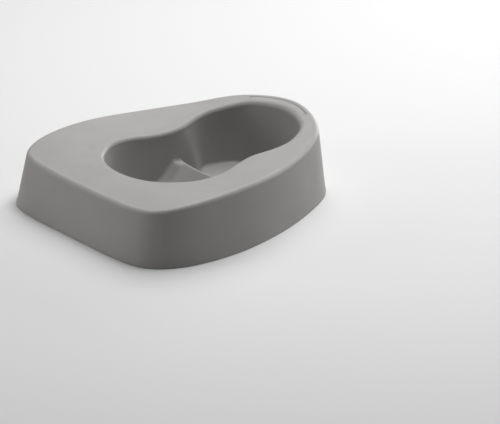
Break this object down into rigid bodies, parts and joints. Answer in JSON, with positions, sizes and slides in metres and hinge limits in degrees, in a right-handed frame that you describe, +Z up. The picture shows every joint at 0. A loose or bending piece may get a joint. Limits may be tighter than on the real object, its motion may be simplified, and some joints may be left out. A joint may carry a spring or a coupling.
{
  "type": "bedpan",
  "caption": "Contoured bedpan: low wide seat rising to a tall narrow end, keyhole-shaped bowl with a splash ridge, leaning skirt and out-turned foot.",
  "frame": {"origin": "middle of the base, in the plane that the pan stands on", "axes": "+X from the low wide end to the tall narrow end, +Y to the left seen from the wide end, +Z up"},
  "size_m": [0.3639, 0.288, 0.0862],
  "materials": {
    "graphite_plastic": "fine satin moulding grain, warm mid-grey"
  },
  "bodies": {
    "root": {"seat_edge": "graphite_plastic", "seat_deck": "graphite_plastic", "bowl_lip": "graphite_plastic", "outer_skirt": "graphite_plastic", "foot_rim": "graphite_plastic", "bowl_wall_narrow": "graphite_plastic", "bowl_wall_wide": "graphite_plastic", "bowl_floor": "graphite_plastic", "splash_ridge": "graphite_plastic"}
  },
  "joints": []
}
